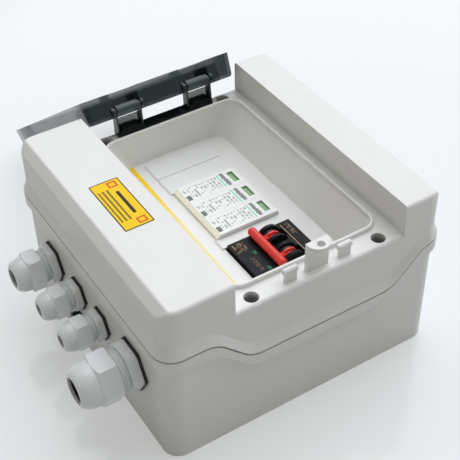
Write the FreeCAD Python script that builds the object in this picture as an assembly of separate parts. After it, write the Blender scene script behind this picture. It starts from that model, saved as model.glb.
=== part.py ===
"""A wall-mounting combiner box for a small solar array, lying on its back with its window door open.

Frame: +X to the lock side, -X to the hinge side, +Y to the top edge, -Y to the cable glands,
+Z out of the cover. The origin is in the middle of the wall face, between the four fixing holes.
"""
import math
import os

import FreeCAD
import Part

V = FreeCAD.Vector

# Devices: modules on a top-hat rail, the sizes that drive the box
MODULE = 18.0            # standard width of one module
ROW_MODULES = 8
NOSE = 45.0              # standard front height of the devices
DEPTH = 121.0            # wall face to the top of the cover's wings
WING_WIDE = 45.7         # wing on the gland side
WING_NARROW = 29.7       # wing on the top side

# Tub around the devices
TUB_X = -2.0             # middle of the tub
TUB_END = 6.4            # from the row of modules to the tub's end walls
TUB_SIDE = 14.7          # from the noses to the foot of the leaning walls
TUB_LEAN_X = 1.5         # lean of the walls on the lock and hinge sides
TUB_LEAN_Y = 13.7        # lean of the walls on the other two sides
TUB_L = ROW_MODULES * MODULE + 2 * TUB_END
TUB_W = NOSE + 2 * (TUB_SIDE + TUB_LEAN_Y)
TUB_R = 9.0
TUB_WALL = 2.4
LIP_W = 2.2
LIP_H = 2.8
LIP_R = 0.9

# Enclosure
BOX_X = TUB_L + 29.2     # hinge side to lock side, over the walls
CHANNEL_W = TUB_W + 16.8
BOX_Y = CHANNEL_W + WING_WIDE + WING_NARROW
CHANNEL_Y = (WING_WIDE - WING_NARROW) / 2
CHANNEL_TOP = DEPTH - 21.5
TUB_FLOOR = CHANNEL_TOP - 21.9
HALF_X = BOX_X / 2
HALF_Y = BOX_Y / 2
CHANNEL_LOW = CHANNEL_Y - CHANNEL_W / 2
CHANNEL_HIGH = CHANNEL_Y + CHANNEL_W / 2
WALL = 3.0
COVER_WALL = 2.8
CORNER_R = 11.0          # vertical corners of the walls
WING_CHAMFER = 5.8
EDGE_R = 2.6             # rounding of the edges along the lock and hinge sides
WING_R = 2.4             # rounding beside the wings' bevels
RIM_OUT = 2.6            # how far the rim stands out of the walls
BASE_BAND = 9.6          # height of the base's rim band
RIM_SLOPE = 1.8          # slope under the base's band
COVER_RIM = 7.6          # height of the cover's rim, nearly all of it a slope
COVER_EDGE = 1.0         # upright part of the cover's rim

# The wave of the parting line
PART_HIGH = DEPTH - 36.2             # under the wings
PART_LOW = PART_HIGH - 24.0          # under the channel
WAVE_R = 18.0
WAVE_LEFT = -HALF_Y + 43.5           # middle of the slope on the gland side
WAVE_RIGHT = HALF_Y - 25.5           # middle of the slope on the top side
SEAL_T = 1.3
SEAL_W = 3.2
SEAL_IN = 1.6            # seal's distance from the rim's outer edge

# Cover screws
SCREW_X = HALF_X - 6.6
SCREW_Y = CHANNEL_W / 2 - 14.5       # from the channel's middle
WELL_D = 9.0
WELL_DEPTH = 22.0
COLUMN_D = 13.0
SCREW_D = 4.0
SCREW_HEAD_D = 7.6
SCREW_HEAD_H = 3.2
SCREW_CORE = 12.0        # how far the screw goes into the base

# Rail and devices
SLOT_GAP = 1.0           # round the noses in the cut-out
FIT = 0.25               # gap between neighbouring devices
ROW_START = TUB_X - TUB_L / 2 + TUB_END
ROW_END = ROW_START + ROW_MODULES * MODULE
SPD_X = ROW_END - 6.0 * MODULE
BREAKER_X = ROW_END - 2.5 * MODULE
BREAKER_W = 2 * MODULE
FACE_Z = TUB_FLOOR + 2.9
ARRESTER_Z = FACE_Z + 1.2            # the arresters' fronts stand higher than the switch
SHOULDER_Z = FACE_Z - 14.0
RAIL_T = 1.0
RAIL_W = 35.0
RAIL_FOOT_W = 27.0
RAIL_H = 7.5
RAIL_L = ROW_MODULES * MODULE + 14.0
RAIL_BACK = WALL + 12.0
RAIL_FRONT = RAIL_BACK + RAIL_H
RAIL_POST = 16.0         # width of the posts under the rail
RAIL_POST_L = 28.0
RAIL_SCREW_IN = 12.0     # screws, from the rail's ends
RAIL_SCREW_HEAD_R = 3.6
RAIL_SCREW_HEAD_H = 2.4
HOOK = 1.4               # how far a device reaches behind the rail
SPD_HEIGHT = 90.0
BREAKER_HEIGHT = 82.0
TERMINAL_IN = 8.5        # terminal screws, from a device's ends
TERMINAL_DEEP = 9.0      # their seats, below the shoulders
TERMINAL_WELL_R = 3.2
TERMINAL_SCREW_R = 3.0
FUNNEL_R = 3.4           # wire funnels in a device's ends
FUNNEL_L = 12.0
FUNNEL_DEEP = 16.0       # their middles, below the shoulders
CARTRIDGE_Z = RAIL_FRONT + 15.5      # bottom of the plug-in bay
CARTRIDGE_FIT = 0.06
CARTRIDGE_WINDOW = 3.6   # from the front's +Y edge to the flag window
CARTRIDGE_BEVEL = 2.2
BLADE_Y = 12.0           # plug blades, from the middle
BLADE_T = 1.8
BLADE_W = 6.4
BLADE_L = 7.0

# Breaker handle
PIVOT_Y = CHANNEL_Y + 5.0
PIVOT_Z = FACE_Z - 3.0
RING_R = 8.5
RING_T = 2.2
POCKET_W = 7.6
DRUM_R = 6.9
DRUM_W = 3.6
HUB_R = 5.6              # round end of each lever, beside its drum
LEVER_ANGLE = 146.0      # from +Y towards +Z, switched off
LEVER_LEN = 11.6
LEVER_W = 3.2
LEVER_T = 5.2
TIE_R = 2.9

# Lock post and clips on the channel's lock-side strip
POST_X = HALF_X - 8.2
POST_T = 2.6
POST_W = 15.0
POST_H = 20.0
POST_HEAD_T = 2.6
POST_REACH = 1.4         # straight part of the post's head
POST_HOLE_D = 5.0
POST_HOLE_X = POST_X + 4.6
CLIP_X = HALF_X - 5.8
CLIP_SIDE = 19.0         # from the channel's middle
CLIP_W = 8.0
CLIP_H = 9.6

# Window door, its hinges and how far it stands open
DOOR_X0 = -HALF_X + 0.2
DOOR_X1 = HALF_X - 9.5
DOOR_W = CHANNEL_W - 4.6
DOOR_RIM_Z = CHANNEL_TOP + 5.2
DOOR_LEAN = 2.4
DOOR_LEAN_X = 0.6
DOOR_T = 2.2
DOOR_EDGE_R = 2.2
HINGE_X = -HALF_X + 2.5
HINGE_Z = DEPTH - 3.8
HINGE_SIDE = DOOR_W / 2 - 30.3       # hinge middles, from the channel's middle
BARREL_R = 3.8
BARREL_W = 16.2
LEG_T = 1.2
LEG_GAP = 0.3
LEG_EYE_R = 2.6
RIB_T = 1.8
PIN_R = 1.5
PIN_CLEAR = 0.05
NOTCH_X = HINGE_X + 10.0
OPEN_ANGLE = 217.2
STRIP_T = 2.2            # black hinge strip on the channel
STRIP_X0 = -HALF_X + 0.4
STRIP_X1 = STRIP_X0 + 7.2
BLOCK_H = 5.8            # foot block of each hinge
BLOCK_SLOPE = 3.6
WEB_GAP = 2.8            # room for the open door over the web between the legs

# Wall fixing
FIX_FROM_X = 23.0        # holes, from the lock and hinge sides
FIX_FROM_Y = 22.0        # holes, from the top and gland sides
FIX_X = BOX_X - 2 * FIX_FROM_X
FIX_Y = BOX_Y - 2 * FIX_FROM_Y
FIX_D = 5.2
FIX_BOSS_D = 14.0
FIX_BOSS_H = 5.0

# Earth bar beside the gland wall
EARTH_X = 30.0
EARTH_Y = -HALF_Y + 31.0
EARTH_Z = 16.0
EARTH_L = 60.0
EARTH_H = 6.5
EARTH_W = 8.0
EARTH_WAYS = 5
EARTH_BORE_R = 1.8
EARTH_BORE_UP = 2.4      # bores' middles, from the bar's underside
EARTH_SCREW_UP = 4.6     # screws' lower ends, from the bar's underside
EARTH_SCREW_L = 4.0
EARTH_POST_IN = 6.0      # post middles, from the bar's ends
EARTH_POST_L = 10.0
EARTH_POST_W = 12.0

# Cable glands with metric threads
M16 = 16.0
M20 = 20.0
M25 = 25.0
FLATS = 1.2              # width over the flats, from the thread
M16_HOLE = 7.6
M20_HOLE = 12.0
M25_HOLE = 16.0
M16_REACH = 28.0         # from the wall to the front of the cap nut
M20_REACH = 30.0
M25_REACH = 39.0
GLAND_Z = PART_HIGH / 2 + 6.1
GLANDS = {
    1: dict(x=-0.288 * BOX_X, z=GLAND_Z, thread=M20, hole=M20_HOLE, reach=M20_REACH),
    2: dict(x=-0.1 * BOX_X, z=GLAND_Z, thread=M16, hole=M16_HOLE, reach=M16_REACH),
    3: dict(x=0.067 * BOX_X, z=GLAND_Z, thread=M16, hole=M16_HOLE, reach=M16_REACH),
    4: dict(x=0.285 * BOX_X, z=GLAND_Z + 1.5, thread=M25, hole=M25_HOLE, reach=M25_REACH),
}
WASHER_T = 2.0
LOCKNUT_T = 5.0
STUB_IN = 9.0            # thread stub inside the wall
FLANGE_SHARE = 0.17      # of the reach
NECK_SHARE = 0.15        # bare thread between flange and cap nut
NUT_FRONT_T = 1.8        # wall at the cap nut's front
VENT_X = -0.118 * BOX_X
VENT_Z = PART_HIGH / 4 + 0.8
VENT_D = 8.0
VENT_HEAD_D = 13.0
FAR = 400.0

nodes = {}


def box(x0, x1, y0, y1, z0, z1):
    return Part.makeBox(x1 - x0, y1 - y0, z1 - z0, V(x0, y0, z0))


def cylinder(start, axis, radius, length):
    return Part.makeCylinder(radius, length, V(*start), V(*axis))


def rounded_rectangle(cx, cy, size_x, size_y, radius, z):
    """Closed wire of a rectangle with round corners, at height z."""
    hx, hy = size_x / 2, size_y / 2
    edges = []
    corners = [(1, 1), (-1, 1), (-1, -1), (1, -1)]
    previous = None
    first = None
    for index, (sx, sy) in enumerate(corners):
        mx, my = cx + sx * (hx - radius), cy + sy * (hy - radius)
        start_angle = math.radians(90 * index)
        points = []
        for turn in (0, 45, 90):
            angle = start_angle + math.radians(turn)
            points.append(V(mx + radius * math.cos(angle), my + radius * math.sin(angle), z))
        if previous is None:
            first = points[0]
        else:
            edges.append(Part.makeLine(previous, points[0]))
        edges.append(Part.Arc(*points).toShape())
        previous = points[2]
    edges.append(Part.makeLine(previous, first))
    return Part.Wire(edges)


def slab(size_x, size_y, radius, z0, z1, cx=0.0, cy=0.0):
    face = Part.Face(rounded_rectangle(cx, cy, size_x, size_y, radius, z0))
    return face.extrude(V(0, 0, z1 - z0))


def frustum(low, high, cx, cy):
    """Loft between two rounded rectangles, each given as (size_x, size_y, radius, z)."""
    wires = [rounded_rectangle(cx, cy, *end[:3], end[3]) for end in (low, high)]
    return Part.makeLoft(wires, True, True)


def prism(points, start, direction):
    """Extrude a closed polygon of vectors from a start offset along a direction."""
    face = Part.Face(Part.makePolygon([p + start for p in points] + [points[0] + start]))
    return face.extrude(direction)


def in_yz(points, x0, x1):
    return prism([V(0, y, z) for y, z in points], V(x0, 0, 0), V(x1 - x0, 0, 0))


def in_xz(points, y0, y1):
    return prism([V(x, 0, z) for x, z in points], V(0, y0, 0), V(0, y1 - y0, 0))


def hexagon(across_flats, x, z, y_start, length):
    radius = across_flats / math.sqrt(3)
    points = []
    for k in range(6):
        angle = math.radians(60 * k)
        points.append(V(x + radius * math.cos(angle), y_start, z + radius * math.sin(angle)))
    return prism(points, V(0, 0, 0), V(0, -length, 0))


def slope_edges(middle, side):
    """The wave's S between high and low; side is +1 where it falls towards +Y."""
    lean = math.sqrt(0.5)
    drop = PART_HIGH - PART_LOW
    straight = drop - 2 * WAVE_R * (1 - lean)
    half = WAVE_R * lean + straight / 2
    top_y, low_y = middle - side * half, middle + side * half

    def on_arc(cy, cz, sign, angle):
        return V(0, cy + side * sign * WAVE_R * math.sin(angle), cz + sign * WAVE_R * math.cos(angle))

    angles = (0, math.pi / 8, math.pi / 4)
    top = [on_arc(top_y, PART_HIGH - WAVE_R, 1, a) for a in angles]
    low = [on_arc(low_y, PART_LOW + WAVE_R, -1, a) for a in reversed(angles)]
    return [Part.Arc(*top).toShape(), Part.makeLine(top[2], low[0]), Part.Arc(*low).toShape()], top[0], low[2]


def wave_face(lift):
    """Face below the wave, in the YZ plane, reaching far down."""
    fall, fall_top, fall_low = slope_edges(WAVE_LEFT, 1)
    rise, rise_top, rise_low = slope_edges(WAVE_RIGHT, -1)
    left, right = V(0, -FAR, PART_HIGH), V(0, FAR, PART_HIGH)
    edges = [Part.makeLine(left, fall_top)] + fall
    edges += [Part.makeLine(fall_low, rise_low)] + rise + [Part.makeLine(rise_top, right)]
    edges += [Part.makeLine(right, V(0, FAR, -FAR)), Part.makeLine(V(0, FAR, -FAR), V(0, -FAR, -FAR))]
    edges.append(Part.makeLine(V(0, -FAR, -FAR), left))
    face = Part.Face(Part.Wire(Part.__sortEdges__(edges)))
    face.translate(V(-FAR, 0, lift))
    return face


def below_wave(lift):
    return wave_face(lift).extrude(V(2 * FAR, 0, 0))


def rim_band(low, high):
    """The standing-out rim between two heights over the wave."""
    ring = slab(BOX_X + 2 * RIM_OUT, BOX_Y + 2 * RIM_OUT, CORNER_R + RIM_OUT, 0, DEPTH)
    return ring.common(below_wave(high)).cut(below_wave(low))


def outer_rim_edges(band, lift):
    """The band's outer edges that follow the parting line at this lift."""
    picked = []
    for edge in band.Edges:
        middle = edge.valueAt((edge.FirstParameter + edge.LastParameter) / 2)
        ends = [edge.valueAt(edge.FirstParameter), edge.valueAt(edge.LastParameter)]
        if all(abs(p.z - wave_height(p.y) - lift) < 0.02 for p in ends + [middle]):
            picked.append(edge)
    return picked


def wave_height(y):
    """Height of the parting line at y."""
    lean = math.sqrt(0.5)
    straight = (PART_HIGH - PART_LOW) - 2 * WAVE_R * (1 - lean)
    half = WAVE_R * lean + straight / 2
    nearest = WAVE_LEFT if y < (WAVE_LEFT + WAVE_RIGHT) / 2 else WAVE_RIGHT
    side = 1 if nearest == WAVE_LEFT else -1
    along = side * (y - nearest)
    if along <= -half:
        return PART_HIGH
    if along >= half:
        return PART_LOW
    from_top, from_low = along + half, half - along
    if from_top < WAVE_R * lean:
        return PART_HIGH - WAVE_R + math.sqrt(WAVE_R ** 2 - from_top ** 2)
    if from_low < WAVE_R * lean:
        return PART_LOW + WAVE_R - math.sqrt(WAVE_R ** 2 - from_low ** 2)
    return (PART_HIGH + PART_LOW) / 2 - along


def screw_places():
    return [(sx * SCREW_X, CHANNEL_Y + sy * SCREW_Y) for sx in (-1, 1) for sy in (-1, 1)]


def make_base():
    walls = slab(BOX_X, BOX_Y, CORNER_R, 0, DEPTH).common(below_wave(0))
    band = rim_band(-BASE_BAND, 0)
    band = band.makeChamfer(RIM_SLOPE, outer_rim_edges(band, -BASE_BAND))
    base = walls.fuse(band)
    inner_r = CORNER_R - WALL
    base = base.cut(slab(BOX_X - 2 * WALL, BOX_Y - 2 * WALL, inner_r, WALL, DEPTH))
    for x, y in screw_places():
        column = cylinder((x, y, WALL), (0, 0, 1), COLUMN_D / 2, PART_LOW - WALL)
        inside = slab(BOX_X, BOX_Y, CORNER_R, 0, DEPTH)
        base = base.fuse(column.common(inside))
        hole_start = PART_LOW - SCREW_CORE - 1
        base = base.cut(cylinder((x, y, hole_start), (0, 0, 1), SCREW_D / 2, FAR))
    for sx in (-1, 1):
        for sy in (-1, 1):
            centre = (sx * FIX_X / 2, sy * FIX_Y / 2, 0)
            base = base.fuse(cylinder(centre, (0, 0, 1), FIX_BOSS_D / 2, WALL + FIX_BOSS_H))
            base = base.cut(cylinder(centre, (0, 0, 1), FIX_D / 2, FAR))
    for x in rail_screw_places():
        half, long = RAIL_POST / 2, RAIL_POST_L / 2
        post = box(x - half, x + half, CHANNEL_Y - long, CHANNEL_Y + long, WALL, RAIL_BACK)
        base = base.fuse(post)
        base = base.cut(cylinder((x, CHANNEL_Y, WALL + 1), (0, 0, 1), SCREW_D / 2, FAR))
    for x in earth_posts():
        half_l, half_w = EARTH_POST_L / 2, EARTH_POST_W / 2
        base = base.fuse(box(x - half_l, x + half_l, EARTH_Y - half_w, EARTH_Y + half_w, WALL, EARTH_Z))
    for gland in GLANDS.values():
        start = (gland["x"], -HALF_Y - 1, gland["z"])
        base = base.cut(cylinder(start, (0, 1, 0), gland["thread"] / 2 + 0.2, WALL + 2))
    base = base.cut(cylinder((VENT_X, -HALF_Y - 1, VENT_Z), (0, 1, 0), VENT_D / 2, WALL + 2))
    nodes["base_shell"] = base.removeSplitter()


def cover_section(shrink):
    """Outline of the cover across the box, in the YZ plane; shrink is the wall taken off."""
    side = HALF_Y - shrink
    top = DEPTH - shrink
    low, high = CHANNEL_LOW - shrink, CHANNEL_HIGH + shrink
    floor = CHANNEL_TOP - shrink
    bevel = WING_CHAMFER
    return [(-side, 0), (side, 0), (side, top - bevel), (side - bevel, top), (high, top),
            (high, floor), (low, floor), (low, top), (-side + bevel, top), (-side, top - bevel)]


def bevel_edges(shape):
    """Edges along the box on both sides of the wings' bevels."""
    picked = []
    for edge in shape.Edges:
        box_of = edge.BoundBox
        along = box_of.XLength > HALF_X and box_of.YLength < 0.01
        if along and box_of.ZMin > CHANNEL_TOP + 1 and abs(box_of.YMin - CHANNEL_Y) > CHANNEL_W / 2 + 1:
            picked.append(edge)
    return picked


def top_long_edges(shape):
    """Edges across the box at the lock and hinge ends of the wings and the channel."""
    picked = []
    for edge in shape.Edges:
        box_of = edge.BoundBox
        flat = box_of.ZLength < 0.01 and box_of.XLength < 0.01 and box_of.YLength > 5
        at_end = abs(abs(box_of.XMin) - HALF_X) < 0.01
        if flat and at_end and box_of.ZMin > CHANNEL_TOP - 1:
            picked.append(edge)
    return picked


def tub_solids():
    outer_low = (TUB_L - 2 * TUB_LEAN_X + 2 * TUB_WALL, TUB_W - 2 * TUB_LEAN_Y + 2 * TUB_WALL,
                 TUB_R, TUB_FLOOR - TUB_WALL)
    outer_high = (TUB_L + 2 * TUB_WALL, TUB_W + 2 * TUB_WALL, TUB_R + TUB_WALL, CHANNEL_TOP - 1)
    inner_low = (TUB_L - 2 * TUB_LEAN_X, TUB_W - 2 * TUB_LEAN_Y, TUB_R - 2, TUB_FLOOR)
    inner_high = (TUB_L, TUB_W, TUB_R, CHANNEL_TOP)
    outer = frustum(outer_low, outer_high, TUB_X, CHANNEL_Y)
    inner = frustum(inner_low, inner_high, TUB_X, CHANNEL_Y)
    return outer, inner


def cutout():
    half = NOSE / 2 + SLOT_GAP
    return ROW_START, ROW_END, CHANNEL_Y - half, CHANNEL_Y + half


def make_lip():
    outside = slab(TUB_L + 2 * LIP_W, TUB_W + 2 * LIP_W, TUB_R + LIP_W,
                   CHANNEL_TOP - 0.5, CHANNEL_TOP + LIP_H, TUB_X, CHANNEL_Y)
    inside = slab(TUB_L, TUB_W, TUB_R, CHANNEL_TOP - 0.5, CHANNEL_TOP + LIP_H, TUB_X, CHANNEL_Y)
    lip = outside.cut(inside)
    top = [e for e in lip.Edges if e.BoundBox.ZMin > CHANNEL_TOP + LIP_H - 0.01]
    return lip.makeFillet(LIP_R, top)


def make_lock_post():
    """Plate with a round head that carries the eye for a lock or seal."""
    low, high = CHANNEL_Y - POST_W / 2, CHANNEL_Y + POST_W / 2
    top = CHANNEL_TOP + POST_H
    under = top - POST_HEAD_T
    plate = box(POST_X, POST_X + POST_T, low, high, CHANNEL_TOP - 0.5, top)
    nose_x = POST_X + POST_REACH
    head = box(POST_X, nose_x, low, high, under, top)
    arc = Part.Arc(V(nose_x, high, under), V(nose_x + POST_W / 2, CHANNEL_Y, under), V(nose_x, low, under))
    chord = Part.makeLine(V(nose_x, low, under), V(nose_x, high, under))
    half_round = Part.Face(Part.Wire([arc.toShape(), chord])).extrude(V(0, 0, POST_HEAD_T))
    post = plate.fuse([head, half_round])
    return post.cut(cylinder((POST_HOLE_X, CHANNEL_Y, under - 1), (0, 0, 1), POST_HOLE_D / 2, FAR))


def make_clip(y):
    """A snap clip: a thin stem and a round-backed bar that leans over the door's edge."""
    bar_z = CHANNEL_TOP + CLIP_H - 2
    stem = box(CLIP_X - 1, CLIP_X + 1, y - CLIP_W / 2, y + CLIP_W / 2, CHANNEL_TOP - 0.5, bar_z)
    bar = cylinder((CLIP_X - 0.6, y - CLIP_W / 2 - 0.6, bar_z), (0, 1, 0), 2.0, CLIP_W + 1.2)
    return stem.fuse(bar)


def make_cover():
    section = in_yz(cover_section(0), -HALF_X, HALF_X)
    body = slab(BOX_X, BOX_Y, CORNER_R, 0, DEPTH).common(section).cut(below_wave(SEAL_T))
    body = body.removeSplitter()
    body = body.makeFillet(EDGE_R, top_long_edges(body))
    body = body.makeFillet(WING_R, bevel_edges(body))
    cover = body.fuse(cover_rim())
    hollow = slab(BOX_X - 2 * COVER_WALL, BOX_Y - 2 * COVER_WALL, CORNER_R - COVER_WALL, 0, DEPTH)
    hollow = hollow.common(in_yz(cover_section(COVER_WALL), -HALF_X, HALF_X))
    cover = cover.cut(hollow)
    outer, inner = tub_solids()
    cover = cover.fuse(outer.common(below_channel()))
    inside = slab(BOX_X, BOX_Y, CORNER_R, 0, DEPTH)
    for x, y in screw_places():
        column = cylinder((x, y, PART_LOW), (0, 0, 1), COLUMN_D / 2, CHANNEL_TOP - PART_LOW - 1)
        cover = cover.fuse(column.common(inside).cut(below_wave(SEAL_T)))
    cover = cover.cut(inner)
    cover = cover.fuse([make_lip(), make_lock_post()])
    for side in (-1, 1):
        cover = cover.fuse(make_clip(CHANNEL_Y + side * CLIP_SIDE))
    x0, x1, y0, y1 = cutout()
    cover = cover.cut(box(x0, x1, y0, y1, TUB_FLOOR - 2 * TUB_WALL, TUB_FLOOR + 1))
    for x, y in screw_places():
        well_z = CHANNEL_TOP - WELL_DEPTH
        cover = cover.cut(cylinder((x, y, well_z), (0, 0, 1), WELL_D / 2, FAR))
        cover = cover.cut(cylinder((x, y, PART_LOW - 1), (0, 0, 1), SCREW_D / 2 + 0.3, FAR))
    nodes["cover_shell"] = cover.removeSplitter()


def below_channel():
    return box(-HALF_X + 1, HALF_X - 1, CHANNEL_LOW, CHANNEL_HIGH, 0, CHANNEL_TOP - 1)


def cover_rim():
    """The cover's standing-out rim: a low upright edge and a long slope into the wall."""
    top = SEAL_T + COVER_RIM
    edge = SEAL_T + COVER_EDGE
    outer = (BOX_X + 2 * RIM_OUT, BOX_Y + 2 * RIM_OUT, CORNER_R + RIM_OUT, PART_HIGH + edge)
    inner = (BOX_X, BOX_Y, CORNER_R, PART_HIGH + top)
    ends = slab(*outer[:3], 0, PART_HIGH + edge).fuse(frustum(outer, inner, 0, 0))
    middle = wave_face(top)
    middle.translate(V(FAR - HALF_X, 0, 0))
    sides = middle.extrude(V(BOX_X, 0, 0))
    for side in (-1, 1):
        slope = wave_face(top)
        slope.translate(V(FAR + side * HALF_X, 0, 0))
        sides = sides.fuse(slope.extrude(V(side * RIM_OUT, 0, edge - top)))
    return ends.common(sides).cut(below_wave(SEAL_T)).removeSplitter()


def make_seal():
    outer = 2 * (RIM_OUT - SEAL_IN)
    inner = 2 * (RIM_OUT - SEAL_IN - SEAL_W)
    ring = slab(BOX_X + outer, BOX_Y + outer, CORNER_R + outer / 2, 0, DEPTH)
    ring = ring.cut(slab(BOX_X + inner, BOX_Y + inner, CORNER_R + inner / 2, 0, DEPTH))
    nodes["cover_seal"] = ring.common(below_wave(SEAL_T)).cut(below_wave(0))


def make_cover_screws():
    screws = []
    for x, y in screw_places():
        seat = CHANNEL_TOP - WELL_DEPTH
        head = cylinder((x, y, seat), (0, 0, 1), SCREW_HEAD_D / 2, SCREW_HEAD_H)
        slot = box(x - 0.6, x + 0.6, y - SCREW_HEAD_D, y + SCREW_HEAD_D,
                   seat + SCREW_HEAD_H - 1.4, seat + SCREW_HEAD_H + 1)
        foot = PART_LOW - SCREW_CORE
        shank = cylinder((x, y, foot), (0, 0, 1), SCREW_D / 2, seat - foot)
        screws.append(head.cut(slot).fuse(shank).removeSplitter())
    nodes["cover_screws"] = Part.makeCompound(screws)


def earth_posts():
    return (EARTH_X - EARTH_L / 2 + EARTH_POST_IN, EARTH_X + EARTH_L / 2 - EARTH_POST_IN)


def make_earth_bar():
    half = EARTH_L / 2
    bar = box(EARTH_X - half, EARTH_X + half, EARTH_Y - EARTH_W / 2, EARTH_Y + EARTH_W / 2,
              EARTH_Z, EARTH_Z + EARTH_H)
    screws = []
    pitch = EARTH_L / (EARTH_WAYS + 1)
    for k in range(EARTH_WAYS):
        x = EARTH_X - half + (k + 1) * pitch
        bore_z = EARTH_Z + EARTH_BORE_UP
        bar = bar.cut(cylinder((x, EARTH_Y - EARTH_W, bore_z), (0, 1, 0), EARTH_BORE_R, 2 * EARTH_W))
        bar = bar.cut(cylinder((x, EARTH_Y, bore_z), (0, 0, 1), EARTH_BORE_R, FAR))
        foot = (x, EARTH_Y, EARTH_Z + EARTH_SCREW_UP)
        screws.append(cylinder(foot, (0, 0, 1), EARTH_BORE_R, EARTH_SCREW_L))
    nodes["earth_bar"] = bar
    nodes["earth_bar_screws"] = Part.makeCompound(screws)


def rail_screw_places():
    return (TUB_X - RAIL_L / 2 + RAIL_SCREW_IN, TUB_X + RAIL_L / 2 - RAIL_SCREW_IN)


def rail_profile():
    """Top-hat section across the box, at the devices' middle."""
    foot, wide, t = RAIL_FOOT_W / 2, RAIL_W / 2, RAIL_T
    low, high = RAIL_BACK, RAIL_FRONT
    half = [(foot, low), (foot, high - t), (wide, high - t), (wide, high), (foot - t, high),
            (foot - t, low + t)]
    mirrored = [(-y, z) for y, z in reversed(half)]
    return [(CHANNEL_Y + y, z) for y, z in half + mirrored]


def make_rail():
    x0, x1 = TUB_X - RAIL_L / 2, TUB_X + RAIL_L / 2
    rail = in_yz(rail_profile(), x0, x1)
    screws = []
    for x in rail_screw_places():
        rail = rail.cut(cylinder((x, CHANNEL_Y, RAIL_BACK - 1), (0, 0, 1), SCREW_D / 2 + 0.3, RAIL_H))
        seat = (x, CHANNEL_Y, RAIL_BACK + RAIL_T)
        head = cylinder(seat, (0, 0, 1), RAIL_SCREW_HEAD_R, RAIL_SCREW_HEAD_H)
        shank = cylinder((x, CHANNEL_Y, WALL + 1.5), (0, 0, 1), SCREW_D / 2, RAIL_BACK + RAIL_T - WALL - 1.5)
        screws.append(head.fuse(shank).removeSplitter())
    nodes["din_rail"] = rail
    nodes["rail_screws"] = Part.makeCompound(screws)


def device_profile(height, nose_low, nose_high):
    """Side outline of a rail device: hooks round the rail, shoulders and nose."""
    half, rail = height / 2, RAIL_W / 2 + 0.2
    seat, under = RAIL_FRONT, RAIL_FRONT - RAIL_T - 0.1
    back = RAIL_BACK + 2.0
    hook = rail - HOOK - 0.2
    outline = [(half, back), (half, SHOULDER_Z), (nose_high, SHOULDER_Z), (nose_high, FACE_Z),
               (-nose_low, FACE_Z), (-nose_low, SHOULDER_Z), (-half, SHOULDER_Z), (-half, back)]
    slot = [(-rail, back), (-rail, seat), (rail, seat), (rail, under), (hook, under), (hook, back)]
    return [(CHANNEL_Y + y, z) for y, z in outline + slot]


def terminals(shape, x_middles, half):
    """Screw wells in the shoulders and wire funnels in the ends of a device."""
    for x in x_middles:
        for side in (-1, 1):
            y = CHANNEL_Y + side * (half - TERMINAL_IN)
            well = cylinder((x, y, SHOULDER_Z - TERMINAL_DEEP), (0, 0, 1), TERMINAL_WELL_R, FAR)
            end = CHANNEL_Y + side * half
            start = (x, end - side * FUNNEL_L, SHOULDER_Z - FUNNEL_DEEP)
            funnel = cylinder(start, (0, side, 0), FUNNEL_R, FUNNEL_L + 8)
            shape = shape.cut(well).cut(funnel)
    return shape


def terminal_screws(x_middles, half):
    screws = []
    for x in x_middles:
        for side in (-1, 1):
            y = CHANNEL_Y + side * (half - TERMINAL_IN)
            head = cylinder((x, y, SHOULDER_Z - TERMINAL_DEEP), (0, 0, 1), TERMINAL_SCREW_R, 3.0)
            cross = box(x - 2.4, x + 2.4, y - 0.5, y + 0.5, SHOULDER_Z - 7.2, SHOULDER_Z)
            screws.append(head.cut(cross))
    return Part.makeCompound(screws)


def make_spd():
    x0, x1 = SPD_X + FIT, SPD_X + 3 * MODULE - FIT
    base = in_yz(device_profile(SPD_HEIGHT, NOSE / 2, NOSE / 2), x0, x1)
    wall = 1.4
    bay_y0, bay_y1 = CHANNEL_Y - NOSE / 2 - wall, CHANNEL_Y + NOSE / 2 + wall
    base = base.cut(box(x0 - 1, x1 + 1, bay_y0, bay_y1, CARTRIDGE_Z, FAR))
    middles = [SPD_X + MODULE * (k + 0.5) for k in range(3)]
    base = terminals(base, middles, SPD_HEIGHT / 2)
    for x in middles:
        for side in (-1, 1):
            y = CHANNEL_Y + side * BLADE_Y
            half_t, half_w = BLADE_T / 2 + 0.6, BLADE_W / 2 + 0.8
            socket = box(x - half_t, x + half_t, y - half_w, y + half_w,
                         CARTRIDGE_Z - BLADE_L - 1, CARTRIDGE_Z + 1)
            base = base.cut(socket)
    nodes["spd_base"] = base.removeSplitter()
    nodes["spd_terminal_screws"] = terminal_screws(middles, SPD_HEIGHT / 2)
    for k, x in enumerate(middles):
        nodes[f"spd_cartridge_{k + 1}"] = make_cartridge(x)


def make_cartridge(x):
    """One plug-in arrester: a block with a bevelled front, a flag window and two plug blades."""
    half_w = MODULE / 2 - CARTRIDGE_FIT
    half_n = NOSE / 2 - 0.3
    low, face = CARTRIDGE_Z + 0.3, ARRESTER_Z
    back = NOSE / 2 + SLOT_GAP - 0.2
    profile = [(-back, low), (half_n, low), (half_n, face - 1.0), (half_n - 0.8, face),
               (-back + CARTRIDGE_BEVEL, face), (-back, face - CARTRIDGE_BEVEL)]
    body = in_yz([(CHANNEL_Y + y, z) for y, z in profile], x - half_w, x + half_w)
    window_end = CHANNEL_Y + half_n - CARTRIDGE_WINDOW
    body = body.cut(box(x - 5.4, x + 5.4, window_end - 4.2, window_end, face - 1.2, face + 1))
    for side in (-1, 1):
        y = CHANNEL_Y + side * BLADE_Y
        blade = box(x - BLADE_T / 2, x + BLADE_T / 2, y - BLADE_W / 2, y + BLADE_W / 2,
                    CARTRIDGE_Z - BLADE_L, CARTRIDGE_Z + 1)
        body = body.fuse(blade)
    return body.removeSplitter()


def pole_middles():
    return [BREAKER_X + MODULE * (k + 0.5) for k in range(2)]


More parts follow.
